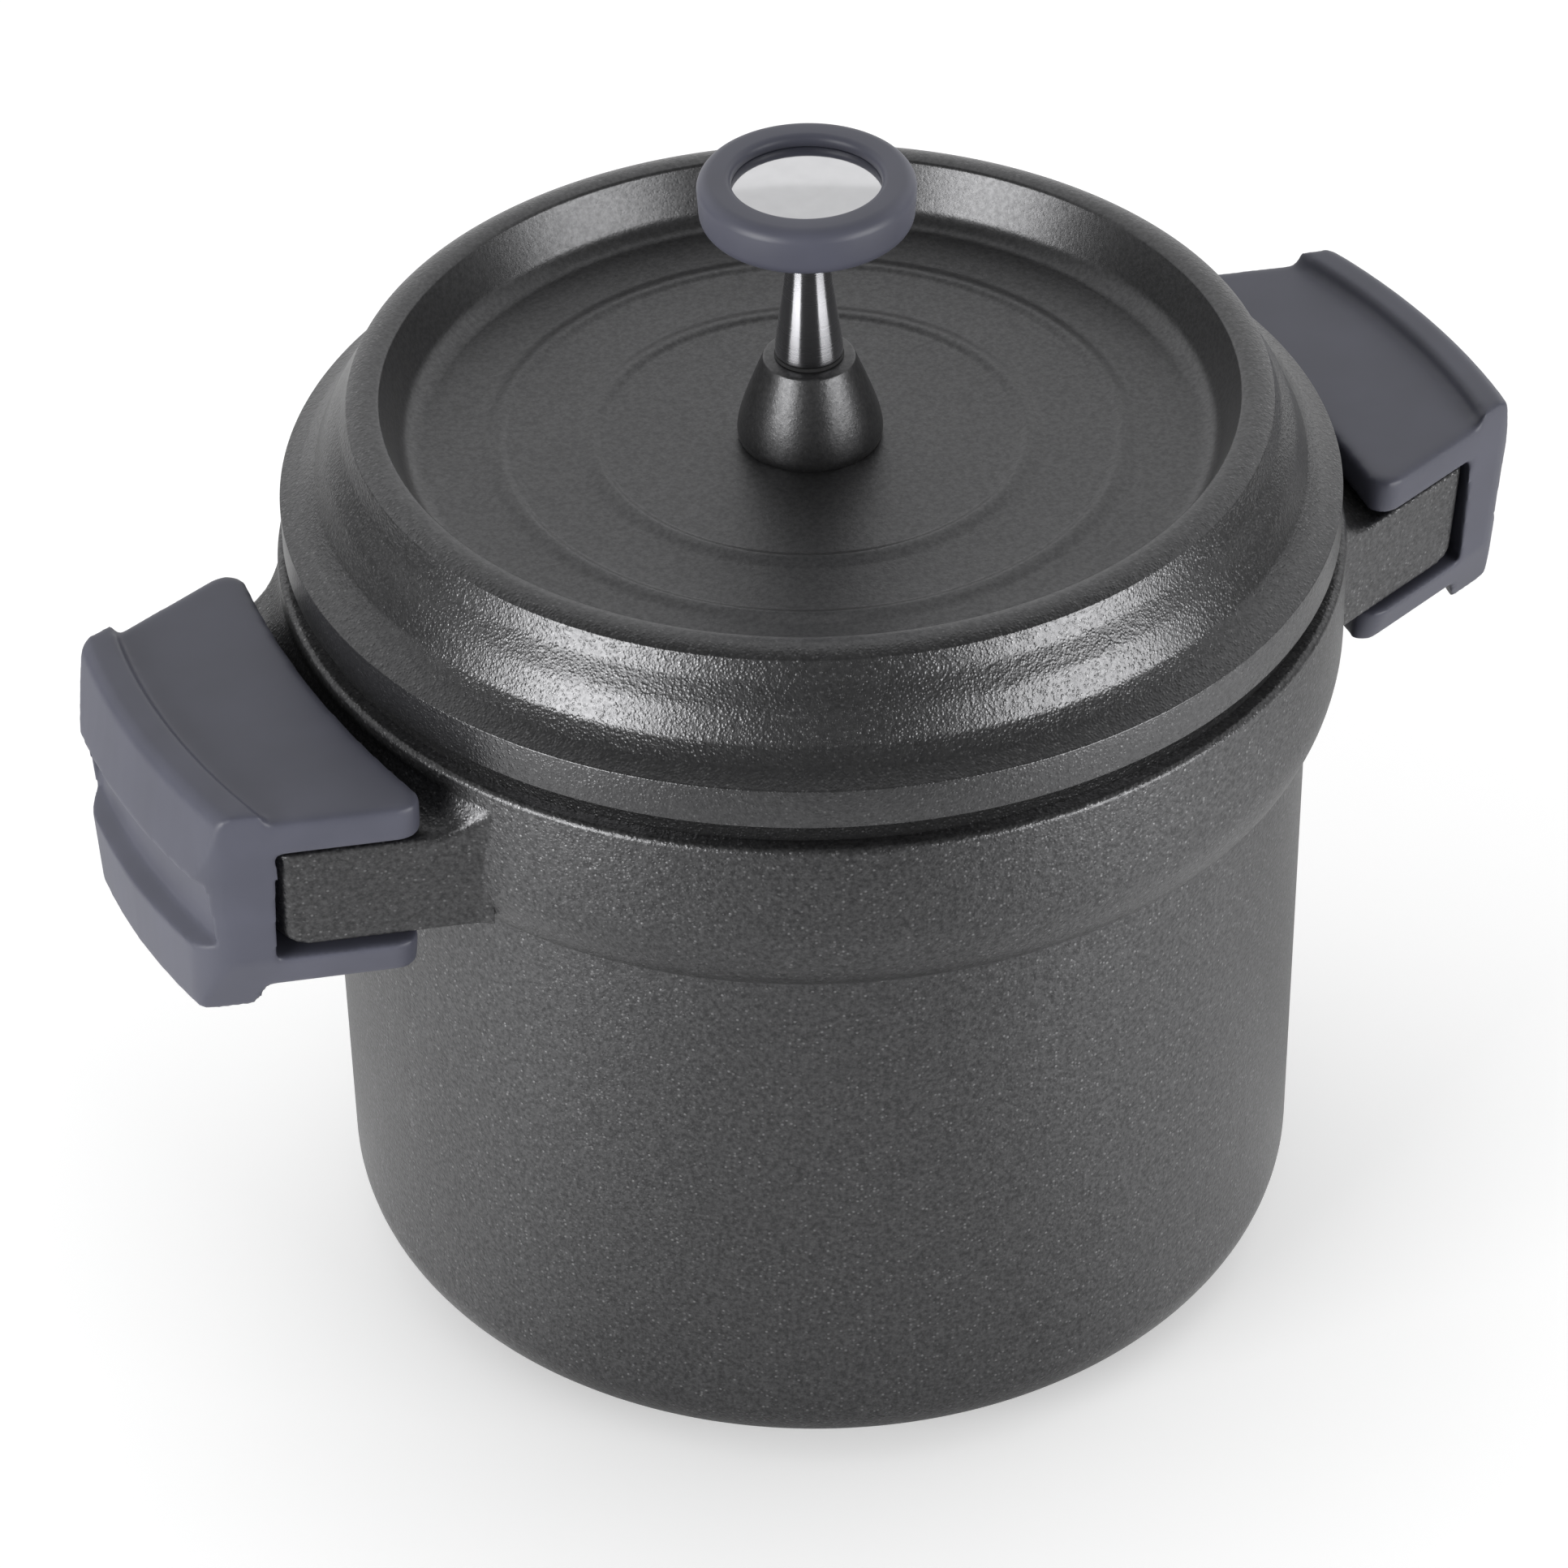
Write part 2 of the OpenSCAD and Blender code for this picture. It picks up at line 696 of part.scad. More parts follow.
module left_grip() {
    color("#5a5b66") rotate([0, 0, 180]) grip();
}

pot_body();
heating_plate();
lid();
stem_gasket();
knob_stem();
knob_head();
head_screw();
knob_ring();
knob_disc();
seal_washer();
plain_washer();
spring_washer();
knob_screw();
left_grip();
right_grip();
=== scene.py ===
# Lidded stew pot: coated cast aluminium, silicone grips and knob ring, polished steel knob stem.
import math
import bpy
import bmesh
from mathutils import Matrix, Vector


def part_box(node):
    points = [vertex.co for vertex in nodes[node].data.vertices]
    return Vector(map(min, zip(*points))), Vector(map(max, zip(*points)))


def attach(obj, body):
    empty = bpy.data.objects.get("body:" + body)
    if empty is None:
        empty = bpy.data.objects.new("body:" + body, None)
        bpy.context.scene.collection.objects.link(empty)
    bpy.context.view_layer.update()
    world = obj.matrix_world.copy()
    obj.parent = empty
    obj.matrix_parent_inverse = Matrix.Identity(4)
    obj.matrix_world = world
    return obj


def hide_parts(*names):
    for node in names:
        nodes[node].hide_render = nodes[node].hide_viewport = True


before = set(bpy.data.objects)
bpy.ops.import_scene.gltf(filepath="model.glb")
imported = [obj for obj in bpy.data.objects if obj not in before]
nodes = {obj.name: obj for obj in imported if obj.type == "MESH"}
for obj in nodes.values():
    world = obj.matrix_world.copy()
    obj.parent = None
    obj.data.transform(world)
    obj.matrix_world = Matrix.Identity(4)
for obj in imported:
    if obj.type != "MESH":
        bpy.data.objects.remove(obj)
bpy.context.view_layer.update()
mm = 0.001
scene = bpy.context.scene
print("frame loaded:", len(nodes), "nodes")


def hexColour(text):  # sRGB hex to linear
    parts = [int(text[i:i + 2], 16) / 255 for i in (1, 3, 5)]
    return [p / 12.92 if p <= 0.04045 else ((p + 0.055) / 1.055) ** 2.4 for p in parts] + [1.0]


def grey(level):
    return (level, level, level, 1)


def arc(cx, cz, r, a0, a1, n=8):
    steps = [math.radians(a0 + (a1 - a0) * i / n) for i in range(n + 1)]
    return [(cx + r * math.cos(a), cz + r * math.sin(a)) for a in steps]


def arcOn(points, r, a0, a1, n):  # an arc that carries on from the last point
    (x, z), a = points[-1], math.radians(a0)
    return arc(x - r * math.cos(a), z - r * math.sin(a), r, a0, a1, n)


def bez(a, b, c, d, n=12):
    out = []
    for i in range(n + 1):
        t = i / n
        s = 1 - t
        out.append(tuple(s ** 3 * a[k] + 3 * s * s * t * b[k] + 3 * s * t * t * c[k]
                         + t ** 3 * d[k] for k in (0, 1)))
    return out


def clampEase(x):  # 0 below 0, 1 above 1, a smooth step between
    x = min(max(x, 0), 1)
    return x * x * (3 - 2 * x)


samePoint = 0.02  # mm: profile points closer than this are one
weld = {"turned": 2e-6, "copied": 1e-5, "cut": 1e-6}  # metres: points this close are merged


def tidyProfile(points):  # drops points that fall on the one before
    out = [points[0]]
    for p in points[1:]:
        if math.dist(p, out[-1]) > samePoint:
            out.append(p)
    return out


def turnProfile(name, points, steps, closed=False, sharp=40):
    # a section in mm, turned once about the upright axis
    bm = bmesh.new()
    verts = [bm.verts.new((r * mm, 0, z * mm)) for r, z in tidyProfile(points)]
    edges = [bm.edges.new(pair) for pair in zip(verts, verts[1:])]
    if closed:
        edges.append(bm.edges.new((verts[-1], verts[0])))
    bmesh.ops.spin(bm, geom=verts + edges, cent=(0, 0, 0), axis=(0, 0, 1), angle=math.tau,
                   steps=steps, use_merge=True)
    bmesh.ops.remove_doubles(bm, verts=bm.verts, dist=weld["turned"])
    bmesh.ops.recalc_face_normals(bm, faces=bm.faces)
    return addPiece(name, bm, sharp)


def addPiece(name, bm, sharp=40):
    mesh = bpy.data.meshes.new(name)
    bm.to_mesh(mesh)
    bm.free()
    mesh.shade_smooth()
    mesh.set_sharp_from_angle(angle=math.radians(sharp))
    piece = bpy.data.objects.new(name, mesh)
    scene.collection.objects.link(piece)
    return piece


def applyModifiers(piece):  # swaps the mesh for what its modifiers make of it
    bpy.context.view_layer.update()
    graph = bpy.context.evaluated_depsgraph_get()
    made = bpy.data.meshes.new_from_object(piece.evaluated_get(graph))
    old = piece.data
    piece.modifiers.clear()
    piece.data = made
    made.name = old.name
    bpy.data.meshes.remove(old)


def easePiece(piece, passes, weightOf=None):
    # rounds a piece's edges, more where the weight is high
    smooth = piece.modifiers.new("ease", "SMOOTH")
    smooth.factor = 0.5
    smooth.iterations = passes
    if weightOf:
        group = piece.vertex_groups.new(name="soft edge")
        for v in piece.data.vertices:
            weight = weightOf(v.co)
            if weight > 0:
                group.add([v.index], weight, "REPLACE")
        smooth.vertex_group = group.name
    applyModifiers(piece)


def softCopy(name, node, voxel, passes, keep=(), shift=None):
    # a merged copy of a CAD node, cut back to what lies in front of each (place, normal) plane of
    # keep, skinned again in small squares and eased, so that its edges come out round as they
    # leave a mould
    bm = bmesh.new()
    bm.from_mesh(nodes[node].data)
    bmesh.ops.remove_doubles(bm, verts=bm.verts, dist=weld["copied"])
    for place, normal in keep:
        cut = bmesh.ops.bisect_plane(bm, geom=bm.verts[:] + bm.edges[:] + bm.faces[:],
                                     dist=weld["cut"], plane_co=place, plane_no=normal,
                                     clear_inner=True)
        rim = [g for g in cut["geom_cut"] if isinstance(g, bmesh.types.BMEdge)]
        bmesh.ops.holes_fill(bm, edges=rim)
    piece = addPiece(name, bm)
    remesh = piece.modifiers.new("skin", "REMESH")
    remesh.mode = "VOXEL"
    remesh.voxel_size = voxel * mm
    remesh.adaptivity = 0
    easePiece(piece, passes)
    if shift:
        for v in piece.data.vertices:
            v.co = shift(v.co.copy())
    piece.data.shade_smooth()
    return piece


def finishPiece(piece, body, slotName, material, *replaced):
    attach(piece, body)
    if replaced:
        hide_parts(*replaced)
    piece.data.materials.clear()
    piece.data.materials.append(material)


def addNode(tree, kind, sets=None, links=None):
    # one node: its settings, its sockets by name or number, and what feeds its inputs
    node = tree.nodes.new(kind)
    for key, value in (sets or {}).items():
        if isinstance(key, int) or key in node.inputs:
            node.inputs[key].default_value = value
        else:
            setattr(node, key, value)
    for key, source in (links or {}).items():
        tree.links.new(source, node.inputs[key])
    return node


def setRamp(node, stops):  # fills a new colour ramp and gives its colour
    ramp = node.color_ramp
    while len(ramp.elements) < len(stops):
        ramp.elements.new(0.5)
    for element, (place, colour) in zip(ramp.elements, stops):
        element.position = place
        element.color = colour
    return node.outputs["Color"]


def newMaterial(name):  # an empty node tree and where each point of the piece is
    material = bpy.data.materials.new(name)
    material.use_nodes = True
    tree = material.node_tree
    tree.nodes.clear()
    return material, tree, addNode(tree, "ShaderNodeTexCoord").outputs["Object"]


def axisRadius(tree, place):  # distance from the upright axis, and the split position
    split = addNode(tree, "ShaderNodeSeparateXYZ", {}, {"Vector": place})
    flat = addNode(tree, "ShaderNodeCombineXYZ", {},
                   {"X": split.outputs["X"], "Y": split.outputs["Y"]})
    length = addNode(tree, "ShaderNodeVectorMath", {"operation": "LENGTH"},
                     {"Vector": flat.outputs[0]})
    return length.outputs["Value"], split


def perMm(size):  # texture scale for a feature of this many mm
    return 1 / (size * mm)


potCoatingLook = {
    "base": "#636364", "dark": "#474748", "fleck": "#8e8e8f", "roughness": 0.37,
    "grain": 0.55, "grainDepth": 0.12, "fleckPitch": 0.9, "fleckTilt": 0.06,
}
lidCoatingLook = {
    "base": "#616162", "dark": "#525253", "fleck": "#7e7e7f", "roughness": 0.32,
    "grain": 0.6, "grainDepth": 0.15, "fleckPitch": 0.8, "fleckTilt": 0.06,
    "smoothR": 101.0, "grainR": 107.0, "smoothShare": 0.22, "dishRoughness": 0.03,
    "floorR": 80.0, "wallR": 93.0, "floorRoughness": 0.04,
}
coatingLook = {  # what the pot's and the lid's coating share
    "metallic": 0.9, "cloud": 45, "cloudSpread": 0.04, "toneFrom": 0.34, "toneTo": 0.66,
    "fleckFrom": 0.80, "fleckTo": 0.97, "fleckInner": 0.10, "fleckOuter": 0.50,
}


def speckledCoating(name, look):
    # fluoropolymer non-stick coating with aluminium flake, sprayed on cast aluminium and baked:
    # dark grey and satin, a fine even grain, flakes that glint where the gloss falls
    material, tree, place = newMaterial(name)
    shared = coatingLook
    grain = addNode(tree, "ShaderNodeTexNoise",
                    {"Scale": perMm(look["grain"] * 2), "Detail": 2.5, "Roughness": 0.65},
                    {"Vector": place}).outputs["Fac"]
    flakes = addNode(tree, "ShaderNodeTexVoronoi",
                     {"Scale": perMm(look["fleckPitch"]), "Randomness": 1.0}, {"Vector": place})
    cloud = addNode(tree, "ShaderNodeTexNoise", {"Scale": perMm(shared["cloud"]), "Detail": 2.0},
                    {"Vector": place})
    tone = setRamp(addNode(tree, "ShaderNodeValToRGB", {}, {"Fac": grain}), [
        (shared["toneFrom"], hexColour(look["dark"])), (shared["toneTo"], hexColour(look["base"]))])
    pick = addNode(tree, "ShaderNodeSeparateColor", {}, {"Color": flakes.outputs["Color"]})
    chosen = setRamp(addNode(tree, "ShaderNodeValToRGB", {}, {"Fac": pick.outputs["Red"]}), [
        (shared["fleckFrom"], grey(0)), (shared["fleckTo"], grey(1))])
    near = setRamp(addNode(tree, "ShaderNodeValToRGB", {}, {"Fac": flakes.outputs["Distance"]}), [
        (shared["fleckInner"], grey(1)), (shared["fleckOuter"], grey(0))])
    share = addNode(tree, "ShaderNodeMath", {"operation": "MULTIPLY"},
                    {0: chosen, 1: near}).outputs[0]
    rough = addNode(tree, "ShaderNodeMapRange",
                    {"To Min": look["roughness"] - shared["cloudSpread"],
                     "To Max": look["roughness"] + shared["cloudSpread"]},
                    {"Value": cloud.outputs["Fac"]}).outputs[0]
    bump = addNode(tree, "ShaderNodeBump", {"Strength": 1.0, "Distance": look["grainDepth"] * mm},
                   {"Height": grain})
    tilt = addNode(tree, "ShaderNodeBump", {"Strength": 1.0, "Distance": look["fleckTilt"] * mm},
                   {"Height": near, "Normal": bump.outputs["Normal"]})
    if "grainR" in look:  # sprayed smoother and duller inside the dish than on the outside
        radius, split = axisRadius(tree, place)
        eased = []
        for start, end, low, high in (
                (look["smoothR"], look["grainR"], look["smoothShare"], 1.0),
                (look["smoothR"], look["grainR"], look["dishRoughness"], 0.0),
                (look["floorR"], look["wallR"], look["floorRoughness"], 0.0)):
            eased.append(addNode(tree, "ShaderNodeMapRange", {
                "From Min": start * mm, "From Max": end * mm, "To Min": low, "To Max": high,
                "interpolation_type": "SMOOTHSTEP"}, {"Value": radius}).outputs[0])
        grainy = eased[0]
        for coat in (bump, tilt):
            tree.links.new(grainy, coat.inputs["Strength"])
        for duller in eased[1:]:
            rough = addNode(tree, "ShaderNodeMath", {"operation": "ADD"},
                            {0: rough, 1: duller}).outputs[0]
        share = addNode(tree, "ShaderNodeMath", {"operation": "MULTIPLY"},
                        {0: share, 1: grainy}).outputs[0]
    colour = addNode(tree, "ShaderNodeMix", {"data_type": "RGBA", 7: hexColour(look["fleck"])},
                     {"Factor": share, 6: tone})
    shader = addNode(tree, "ShaderNodeBsdfPrincipled", {"Metallic": shared["metallic"]},
                     {"Base Color": colour.outputs[2], "Roughness": rough,
                      "Normal": tilt.outputs["Normal"]})
    addNode(tree, "ShaderNodeOutputMaterial", {}, {"Surface": shader.outputs[0]})
    return material


siliconeLook = {
    "base": "#4a4b56", "worn": "#51525e", "wornFrom": 0.30, "wornTo": 0.75,
    "roughness": 0.42, "shinier": 0.04, "duller": 0.05,
    "cloud": 18, "fine": 0.5, "bump": 0.12, "bumpDepth": 0.03, "ior": 1.43,
}


def mouldedSilicone(name, look):
    # moulded silicone rubber: slate grey with a cool tint, satin from the tool, a soft bloom
    material, tree, place = newMaterial(name)
    cloud = addNode(tree, "ShaderNodeTexNoise", {"Scale": perMm(look["cloud"]), "Detail": 3.0},
                    {"Vector": place}).outputs["Fac"]
    fine = addNode(tree, "ShaderNodeTexNoise", {"Scale": perMm(look["fine"]), "Detail": 2.0},
                   {"Vector": place}).outputs["Fac"]
    tone = setRamp(addNode(tree, "ShaderNodeValToRGB", {}, {"Fac": cloud}), [
        (look["wornFrom"], hexColour(look["base"])), (look["wornTo"], hexColour(look["worn"]))])
    rough = addNode(tree, "ShaderNodeMapRange",
                    {"To Min": look["roughness"] - look["shinier"],
                     "To Max": look["roughness"] + look["duller"]}, {"Value": cloud})
    bump = addNode(tree, "ShaderNodeBump",
                   {"Strength": look["bump"], "Distance": look["bumpDepth"] * mm},
                   {"Height": fine})
    shader = addNode(tree, "ShaderNodeBsdfPrincipled", {"Metallic": 0.0, "IOR": look["ior"]},
                     {"Base Color": tone, "Roughness": rough.outputs[0],
                      "Normal": bump.outputs["Normal"]})
    addNode(tree, "ShaderNodeOutputMaterial", {}, {"Surface": shader.outputs[0]})
    return material


steelLook = {
    "smear": 6, "smearFrom": 0.3, "smearTo": 0.8, "smearTone": 0.93, "ringHeight": 0.01,
    "shinier": 0.8, "duller": 1.3, "quarterTurn": 0.25,
}


def turnedSteel(name, colour, roughness, ringPitch, ringDepth, stretch=0.0):
    # steel turned on a lathe and polished: fine rings about the axis, which stretch the gloss
    # across them where a piece was left with its tool marks
    material, tree, place = newMaterial(name)
    shared, clean = steelLook, hexColour(colour)
    radius, split = axisRadius(tree, place)
    along = addNode(tree, "ShaderNodeMath", {"operation": "ADD"},
                    {0: radius, 1: split.outputs["Z"]})
    rings = addNode(tree, "ShaderNodeTexNoise",
                    {"noise_dimensions": "1D", "Scale": perMm(ringPitch), "Detail": 3.0},
                    {"W": along.outputs[0]}).outputs["Fac"]
    smear = addNode(tree, "ShaderNodeTexNoise", {"Scale": perMm(shared["smear"]), "Detail": 2.0},
                    {"Vector": place})
    tone = setRamp(addNode(tree, "ShaderNodeValToRGB", {}, {"Fac": smear.outputs["Fac"]}), [
        (shared["smearFrom"], clean),
        (shared["smearTo"], [c * shared["smearTone"] for c in clean[:3]] + [1])])
    rough = addNode(tree, "ShaderNodeMapRange", {"To Min": roughness * shared["shinier"],
                                                 "To Max": roughness * shared["duller"]},
                    {"Value": rings})
    bump = addNode(tree, "ShaderNodeBump",
                   {"Strength": ringDepth, "Distance": shared["ringHeight"] * mm},
                   {"Height": rings})
    around = addNode(tree, "ShaderNodeTangent", {"direction_type": "RADIAL", "axis": "Z"})
    shader = addNode(tree, "ShaderNodeBsdfPrincipled",
                     {"Metallic": 1.0, "Anisotropic": stretch,
                      "Anisotropic Rotation": shared["quarterTurn"]},
                     {"Base Color": tone, "Roughness": rough.outputs[0],
                      "Normal": bump.outputs["Normal"], "Tangent": around.outputs[0]})
    addNode(tree, "ShaderNodeOutputMaterial", {}, {"Surface": shader.outputs[0]})
    return material


rubberLook = {
    "base": "#141415", "dusty": "#242425", "dustFrom": 0.35, "dustTo": 0.8, "dust": 0.6,
    "roughness": 0.72, "ior": 1.5, "bump": 0.2, "bumpDepth": 0.03,
}


def blackRubber(name, look):
    # moulded black nitrile rubber: dull, with a faint grey dust
    material, tree, place = newMaterial(name)
    dust = addNode(tree, "ShaderNodeTexNoise", {"Scale": perMm(look["dust"]), "Detail": 3.0},
                   {"Vector": place}).outputs["Fac"]
    tone = setRamp(addNode(tree, "ShaderNodeValToRGB", {}, {"Fac": dust}), [
        (look["dustFrom"], hexColour(look["base"])), (look["dustTo"], hexColour(look["dusty"]))])
    bump = addNode(tree, "ShaderNodeBump",
                   {"Strength": look["bump"], "Distance": look["bumpDepth"] * mm},
                   {"Height": dust})
    shader = addNode(tree, "ShaderNodeBsdfPrincipled",
                     {"Metallic": 0.0, "Roughness": look["roughness"], "IOR": look["ior"]},
                     {"Base Color": tone, "Normal": bump.outputs["Normal"]})
    addNode(tree, "ShaderNodeOutputMaterial", {}, {"Surface": shader.outputs[0]})
    return material


potCoating = speckledCoating("speckled non-stick coating", potCoatingLook)
lidCoating = speckledCoating("smooth non-stick coating", lidCoatingLook)
silicone = mouldedSilicone("moulded silicone", siliconeLook)
polishedSteel = turnedSteel("polished stainless steel", "#d6d6d8", 0.06, 0.25, 0.1)
stemSteel = turnedSteel("turned stainless steel", "#a8a8ab", 0.24, 0.25, 0.03, stretch=0.88)
plateSteel = turnedSteel("turned magnetic steel", "#b9b9bb", 0.30, 0.5, 0.8)
screwSteel = turnedSteel("zinc-plated steel", "#b4b6ba", 0.28, 0.4, 0.5)
rubber = blackRubber("black nitrile rubber", rubberLook)
print("materials made")


pot = {
    "rimR": 126.35, "rimZ": 194, "rimT": 4.6, "rimSoft": 1.6, "bandH": 44, "slopeH": 20,
    "step": 7.9, "draft": 1.2, "wall": 4, "floorT": 6, "cornerR": 19, "footH": 1.2,
    "footSoft": 1, "mouthSoft": 0.5, "plateR": 84.05, "plateT": 1.5, "plateSoft": 0.3,
    "steps": 320,
    # the run from the lower wall out to the band: its bends at the foot, outside and inside
    "bendOut": 4.2, "outerLift": 2.6, "outerReach": 9, "innerLift": 3.6, "innerReach": 8,
}


def potProfile(p):
    lowR = p["rimR"] - p["step"]
    baseR = lowR - p["draft"]
    footR = baseR - p["cornerR"]
    mouthR = p["rimR"] - p["rimT"]
    bandZ = p["rimZ"] - p["bandH"]
    slopeZ = bandZ + p["slopeH"]
    inCorner = p["cornerR"] - p["wall"]
    inBase = baseR - p["wall"]
    inLow = lowR - p["wall"]
    floorZ = p["footH"] + p["floorT"]
    plateSoft, footSoft, mouthSoft = p["plateSoft"], p["footSoft"], p["mouthSoft"]
    outside = [(0, p["plateT"]), (p["plateR"], p["plateT"]), (p["plateR"], plateSoft),
               (p["plateR"] + plateSoft, 0), (footR - footSoft, 0),
               (footR - footSoft * 0.4, footSoft * 0.5), (footR, p["footH"])]
    outside += arc(footR, p["footH"] + p["cornerR"], p["cornerR"], -90, 0, 16)
    outside += bez((lowR, bandZ), (lowR + p["bendOut"], bandZ + p["outerLift"]),
                   (p["rimR"], slopeZ - p["outerReach"]), (p["rimR"], slopeZ), 16)
    outside += arc(p["rimR"] - p["rimSoft"], p["rimZ"] - p["rimSoft"], p["rimSoft"], 0, 90, 6)
    inside = [(mouthR + mouthSoft * 0.8, p["rimZ"]),
              (mouthR + mouthSoft * 0.2, p["rimZ"] - mouthSoft * 0.3),
              (mouthR, p["rimZ"] - mouthSoft)]
    inside += bez((mouthR, slopeZ + 1), (mouthR, slopeZ - p["innerReach"]),
                  (inLow + p["bendOut"], bandZ + p["innerLift"]), (inLow, bandZ + 1), 14)
    inside += arc(inBase - inCorner, floorZ + inCorner, inCorner, 0, -90, 12)
    return outside + inside + [(0, floorZ)]


potSection = potProfile(pot)
potShell = turnProfile("pot_shell", potSection, pot["steps"], sharp=50)
finishPiece(potShell, "pot", "coating", potCoating, "pot_body")


lug = {
    "voxel": 0.8, "passes": 5,
    # what a lug keeps of the pot body, in metres: outwards and up from here, this far to each side
    "fromX": 0.112, "fromZ": 0.150, "halfY": 0.078,
    # how its share of the pot's wall hides in the shell's, in mm
    "under": 0.16, "fade": 1.2, "cover": 1.2, "rimBand": 4, "rimDrop": 0.3, "rimSkip": 2,
}


def potWall(z):  # inner and outer radius of the pot's wall at a height
    z = min(z, pot["rimZ"] - lug["rimSkip"])
    hits = [r0 + (r1 - r0) * (z - z0) / (z1 - z0)
            for (r0, z0), (r1, z1) in zip(potSection, potSection[1:]) if (z0 - z) * (z1 - z) < 0]
    return min(hits), max(hits)


def sinkIntoWall(co):
    # what is left of the pot's wall on a lug goes out of sight inside the shell's
    r = math.hypot(co.x, co.y) / mm
    inner, outer = potWall(co.z / mm)
    ease = 1 - clampEase((r - outer) / lug["fade"])
    sunk = max(r - lug["under"] * ease, inner + lug["cover"])
    co.x *= sunk / r
    co.y *= sunk / r
    if co.z > (pot["rimZ"] - lug["rimBand"]) * mm:
        co.z -= lug["rimDrop"] * mm * ease
    return co


for side, name in ((1, "right_lug"), (-1, "left_lug")):
    piece = softCopy(name, "pot_body", lug["voxel"], lug["passes"], shift=sinkIntoWall, keep=[
        ((side * lug["fromX"], 0, 0), (side, 0, 0)), ((0, 0, lug["fromZ"]), (0, 0, 1)),
        ((0, -lug["halfY"], 0), (0, 1, 0)), ((0, lug["halfY"], 0), (0, -1, 0))])
    finishPiece(piece, "pot", "coating", potCoating, "pot_body")
    print(name, len(piece.data.polygons))

print("pot made")


lid = {
    "rimZ": 194, "spigotR": 121.0, "spigotH": 7, "seatR": 122.2, "flangeR": 124.8,
    "flangeZ": 199.2, "flangeTopZ": 209.5, "edgeSoft": 0.35, "seatSoft": 0.3, "wall": 3.5,
    # the bell's run up from the flange: how far along it, and how far its face leans back there
    "bell": [(0, 67), (4.4, 62), (5.7, 47), (9.4, 41), (11.2, 23), (16.2, 23), (19.5, 33),
             (23.4, 33), (25.8, 21), (29.3, 19)],
    "crestSoft": 0.6, "crestCrown": 8.6, "crestLean": (56, 104), "lipSoft": 1.2,
    "dishZ": 220, "dishLean": 22, "dishSoft": 6.0,
    # two raised rings in the dish: a long fall on the outside, a quick rise on the inside
    "outerRing": 73, "innerRing": 51, "ringH": 0.7, "ringOut": 4.4, "ringIn": 2.4, "ringSteps": 9,
    # the boss: how its run leaves the foot and comes up to the top, and its rounded top edge
    "bossH": 22, "bossTopR": 10.9, "bossFootR": 17.0, "bossSoft": 0.5, "bossFlare": (1.6, 2.8),
    "bossLean": (2.5, 0.56), "bossEdge": [(0.2, 0.15), (0.7, 0)],
    "holeR": 2.8, "pocketR": 7.0, "pocketZ": 231,
    # the spigot's lead-in: inwards from its face, up from its end
    "leadIn": [(0.8, 0), (0.2, 0.3), (0, 0.9)],
    # the underside's turns, by how far they lie off the cove, the crest, the bell and the flange
    "underCove": [(-2, 0.6), (1.6, 4)], "underCrest": [(-7.6, -3.6), (-4.5, -2.2)],
    "underBell": 0.2, "underSkip": 3.6, "underStep": 6, "underFlange": 2.4,
    "steps": 384,
}


def leaningRun(start, knots, step=0.35):
    # follows a run of lengths and lean angles from a starting point, inwards and up
    (r, z), out, along = start, [start], 0.0
    while along < knots[-1][0]:
        middle = along + step / 2
        for (l0, a0), (l1, a1) in zip(knots, knots[1:]):
            if l0 <= middle <= l1:
                lean = math.radians(a0 + (a1 - a0) * clampEase((middle - l0) / (l1 - l0)))
        r -= step * math.sin(lean)
        z += step * math.cos(lean)
        along += step
        out.append((r, z))
    return out


